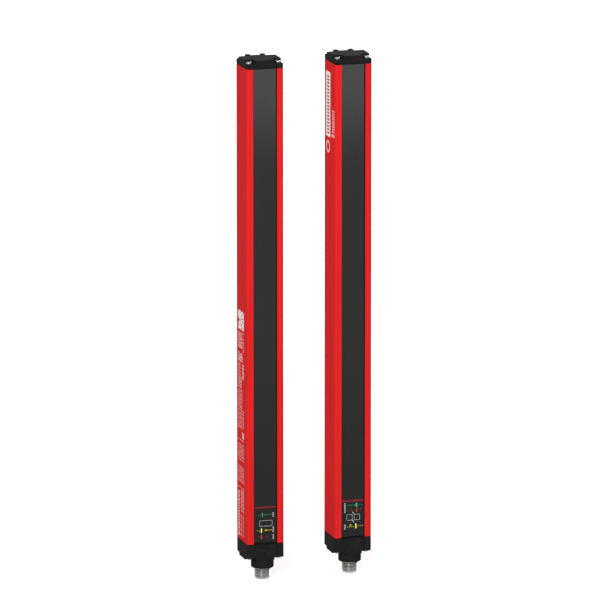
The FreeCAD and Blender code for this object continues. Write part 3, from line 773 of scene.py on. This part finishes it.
# blocks of fine print: nearest and farthest from the front edge, lowest and highest, the pitch
# of the lines and their thickness
FINE_PRINT = ((12.6, 23.9, 143.9, 155.0, 1.4, 0.6), (8.6, 11.8, 141.8, 152.2, 1.7, 0.4),
              (12.0, 24.0, 134.0, 140.5, 1.3, 0.75), (17.0, 24.0, 122.6, 133.0, 1.5, 0.35),
              (8.6, 13.4, 122.6, 133.0, 1.3, 0.7), (14.0, 24.0, 114.2, 121.4, 1.4, 0.5),
              (12.6, 24.0, 98.8, 113.2, 1.3, 0.27), (8.6, 11.8, 85.2, 96.4, 1.7, 0.4),
              (12.6, 24.0, 83.8, 96.2, 1.2, 0.22), (8.6, 13.4, 77.0, 81.8, 1.2, 0.9),
              (8.6, 24.0, 61.6, 72.6, 1.3, 0.25), (8.6, 24.0, 43.2, 56.0, 1.4, 0.25),
              (8.6, 17.4, 21.5, 38.2, 1.3, 0.37), (9.8, 12.8, 3.2, 19.6, 1.5, 0.35),
              (15.0, 18.2, 3.2, 19.6, 1.6, 0.4))

# thin rules across the side
RULE_HEIGHTS = (155.6, 121.9, 97.4, 75.2, 60.2, 39.4)
RULE_MIDDLE = -16.2
RULE_LENGTH = 15.4
RULE_THICKNESS = 0.3

# one bolder column of marks near the rear edge
BOLD_COLUMN = -22.0
BOLD_FROM, BOLD_TO = 2.6, 35.0
BOLD_LENGTHS = (1.0, 2.6)
BOLD_GAP = 0.7
BOLD_WIDTH = 1.9
BOLD_ROUNDING = 0.2


def side_print(bar):
    """Print on the left-hand side of a bar, u counted from the front edge and negative behind."""
    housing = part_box(bar + "_housing_profile")
    stand = Matrix.Translation((housing[0].x, housing[0].y, housing[0].z)) @ UPRIGHT_LEFT
    return Print(bar + "_side_print", stand)


def fine_print(side, rng, near, far, low, high, line_pitch, thickness):
    """A block of fine print: broken lines that run up the bar, each mark a plain bar of ink."""
    lines = max(1, round((far - near) / line_pitch))
    for i in range(lines):
        depth = near + (i + 0.5) * (far - near) / lines
        v = low
        while v < high - LEAST_ROOM:
            length = min(rng.uniform(*MARK_LENGTHS), high - v)
            side.add(PALE_SIDE_INK, -depth, v + length / 2, thickness, length)
            v += length + rng.uniform(*MARK_GAPS)


def transmitter_side():
    """Transmitter: a code-like field of small squares, blocks of fine print, thin rules and one
    bolder column near the rear edge."""
    side = side_print("transmitter")
    rng = random.Random(CODE_SEED)
    for column in range(CODE_COLUMNS):
        for row in range(CODE_ROWS):
            if rng.random() < CODE_SHARE_FILLED:
                side.add(WHITE_SIDE_INK, -(CODE_FROM_FRONT + column * CODE_PITCH),
                         CODE_FROM_FOOT + row * CODE_PITCH, CODE_SQUARE, CODE_SQUARE)
    for block in FINE_PRINT:
        fine_print(side, rng, *block)
    for height in RULE_HEIGHTS:
        side.add(PALE_SIDE_INK, RULE_MIDDLE, height, RULE_LENGTH, RULE_THICKNESS)
    v = BOLD_FROM
    while v < BOLD_TO:
        length = rng.uniform(*BOLD_LENGTHS)
        side.add(WHITE_SIDE_INK, BOLD_COLUMN, v + length / 2, BOLD_WIDTH, length, BOLD_ROUNDING)
        v += length + BOLD_GAP
    side.as_piece("red_paint")


def receiver_side():
    """Receiver: a white field with even dark bars, a shorter row of pale bars beside it and a
    plain ring below."""
    side = side_print("receiver")
    top = (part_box("receiver_housing_profile")[1].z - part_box("receiver_housing_profile")[0].z) / MM
    side.add(LABEL_FILM, -18.3, top - 31.6, width=10.8, height=48.0, rounding=0.4)
    side.ladder(LABEL_INK, -18.2, top - 11.2, pitch=2.45, count=18, width=4.6, height=1.15,
                layer=2)
    side.ladder(PALE_SIDE_INK, -5.2, top - 35.0, pitch=1.9, count=9, width=5.6, height=0.95)
    side.add(PALE_SIDE_INK, -5.8, top - 53.2, width=6.8, height=2.0, rounding=0.2)
    side.add(PALE_SIDE_INK, -18.4, top - 63.0, width=9.4, height=9.4, rounding=4.6, stroke=1.7)
    side.as_piece("red_paint")


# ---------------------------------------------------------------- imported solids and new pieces

for row in frame["record"]["subparts"]:
    node = frame["nodes"][row["node"]]
    for place in node.material_slots:
        place.material = FINISHES[row["material_slot"]]

for bar in BARS:
    threaded_shell(bar)
    top_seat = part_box(bar + "_top_cap_screws")[1].z - HEAD_HEIGHT * MM
    cap_screws(bar, "top", top_seat, 0.0)
    bottom_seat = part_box(bar + "_bottom_cap_screws")[0].z + HEAD_HEIGHT * MM
    cap_screws(bar, "bottom", bottom_seat, math.pi)

# the window beads also stand in for the shade under the lips
for bar in BARS:
    window_beads_and_shade(bar)
transmitter_panel()
receiver_panel()
transmitter_side()
receiver_side()


# ---------------------------------------------------------------- camera

# a long lens far off in front, a little to the left and above: the sensor and the lens are in
# millimetres, the rest is in metres
SENSOR_WIDTH = 36.0
LENS = 439.6
CAMERA_DISTANCE = 5.409
CAMERA_BACK = Vector((-0.2754, -0.9370, 0.2146)).normalized()
CAMERA_TARGET = Vector((-0.00025, 0.0, 0.008925))
CAMERA_REACH = 50.0

camera_data = bpy.data.cameras.new("camera")
camera_data.sensor_width = SENSOR_WIDTH
camera_data.lens = LENS
camera_data.clip_end = CAMERA_REACH
camera = bpy.data.objects.new("camera", camera_data)
bpy.context.scene.collection.objects.link(camera)
camera.location = CAMERA_TARGET + CAMERA_DISTANCE * CAMERA_BACK
camera.rotation_euler = CAMERA_BACK.to_track_quat("Z", "Y").to_euler()
bpy.context.scene.camera = camera


# ---------------------------------------------------------------- light

def soft_light(name, place, target, width, height, power):
    """A rectangular soft box that faces a target. The camera does not see it directly."""
    data = bpy.data.lights.new(name, "AREA")
    data.shape = "RECTANGLE"
    data.size = width
    data.size_y = height
    data.energy = power
    lamp = bpy.data.objects.new(name, data)
    lamp.location = place
    lamp.rotation_euler = (Vector(place) - Vector(target)).to_track_quat("Z", "Y").to_euler()
    lamp.visible_camera = False
    bpy.context.scene.collection.objects.link(lamp)


def seen_rays(tree):
    """The socket that is 1 where a ray comes from the camera, straight, by way of a glossy
    surface or through a clear one, and 0 for the rays that light the part."""
    rays = add_node(tree, "ShaderNodeLightPath")
    seen = add_node(tree, "ShaderNodeMath", {"operation": "MAXIMUM"},
                    links={0: rays.outputs["Is Camera Ray"], 1: rays.outputs["Is Glossy Ray"]})
    seen = add_node(tree, "ShaderNodeMath", {"operation": "MAXIMUM"},
                    links={0: seen.outputs[0], 1: rays.outputs["Is Transmission Ray"]})
    return seen.outputs[0]


WHITE = (1, 1, 1, 1)
MIDDLE = (0, 0, 0)
UPPER_WINDOWS = (0, 0, 0.10)
# how strongly the world lights the part, where it is seen at a strength of 1
WORLD_AS_LIGHT = 0.31

soft_light("key_light", (-0.98, -1.73, 0.946), MIDDLE, width=0.9, height=0.9, power=34.0)
soft_light("fill_light", (1.9, -1.4, 0.7), MIDDLE, width=0.3, height=1.2, power=4.0)
soft_light("back_light", (1.5, 2.2, 1.2), MIDDLE, width=1.2, height=1.2, power=40.0)
soft_light("window_light", (0.275, -0.95, 0.030), UPPER_WINDOWS, width=0.24, height=0.15,
           power=0.36)

world = bpy.data.worlds.new("white_studio")
world.use_nodes = True
bpy.context.scene.world = world
tree = world.node_tree
tree.nodes.clear()
strength = add_node(tree, "ShaderNodeMapRange",
                    values={"To Min": WORLD_AS_LIGHT, "To Max": 1.0},
                    links={"Value": seen_rays(tree)})
sky = add_node(tree, "ShaderNodeBackground", values={"Color": WHITE},
               links={"Strength": strength.outputs["Result"]})
add_node(tree, "ShaderNodeOutputWorld", links={"Surface": sky.outputs[0]})


# ---------------------------------------------------------------- floor

# in metres: half the width of the floor, and how far it lies below the part
FLOOR_HALF_WIDTH = 12.0
FLOOR_GAP = 0.0002
# the floor shines less near the part, so that the soft shadow shows, and pales to plain white
# between these two distances from the origin
FADE_FROM, FADE_TO = 0.25, 0.9
GLOW_UNDER_THE_PART = 0.57

floor_mesh = bmesh.new()
bmesh.ops.create_grid(floor_mesh, x_segments=2, y_segments=2, size=FLOOR_HALF_WIDTH)
bmesh.ops.translate(floor_mesh, verts=floor_mesh.verts, vec=(0, 0, cad_bounds[0].z - FLOOR_GAP))
floor_data = bpy.data.meshes.new("floor")
floor_mesh.to_mesh(floor_data)
floor_mesh.free()
floor = bpy.data.objects.new("floor", floor_data)
bpy.context.scene.collection.objects.link(floor)

white_floor = bpy.data.materials.new("white_studio_floor")
white_floor.use_nodes = True
tree = white_floor.node_tree
tree.nodes.clear()
place = add_node(tree, "ShaderNodeTexCoord")
away = add_node(tree, "ShaderNodeVectorMath", {"operation": "LENGTH"},
                links={0: place.outputs["Object"]})
paling = add_node(tree, "ShaderNodeMapRange",
                  values={"From Min": FADE_FROM, "From Max": FADE_TO,
                          "To Min": GLOW_UNDER_THE_PART, "To Max": 1.0},
                  links={"Value": away.outputs["Value"]})
lift = add_node(tree, "ShaderNodeMath", {"operation": "MULTIPLY"},
                links={0: seen_rays(tree), 1: paling.outputs["Result"]})
paper = add_node(tree, "ShaderNodeBsdfDiffuse", values={"Color": linear("e6e6e6")})
glow = add_node(tree, "ShaderNodeEmission", values={"Color": WHITE},
                links={"Strength": lift.outputs[0]})
both = add_node(tree, "ShaderNodeAddShader", links={0: paper.outputs[0], 1: glow.outputs[0]})
add_node(tree, "ShaderNodeOutputMaterial", links={"Surface": both.outputs[0]})
floor_data.materials.append(white_floor)

view_settings = bpy.context.scene.view_settings
view_settings.view_transform = "Standard"
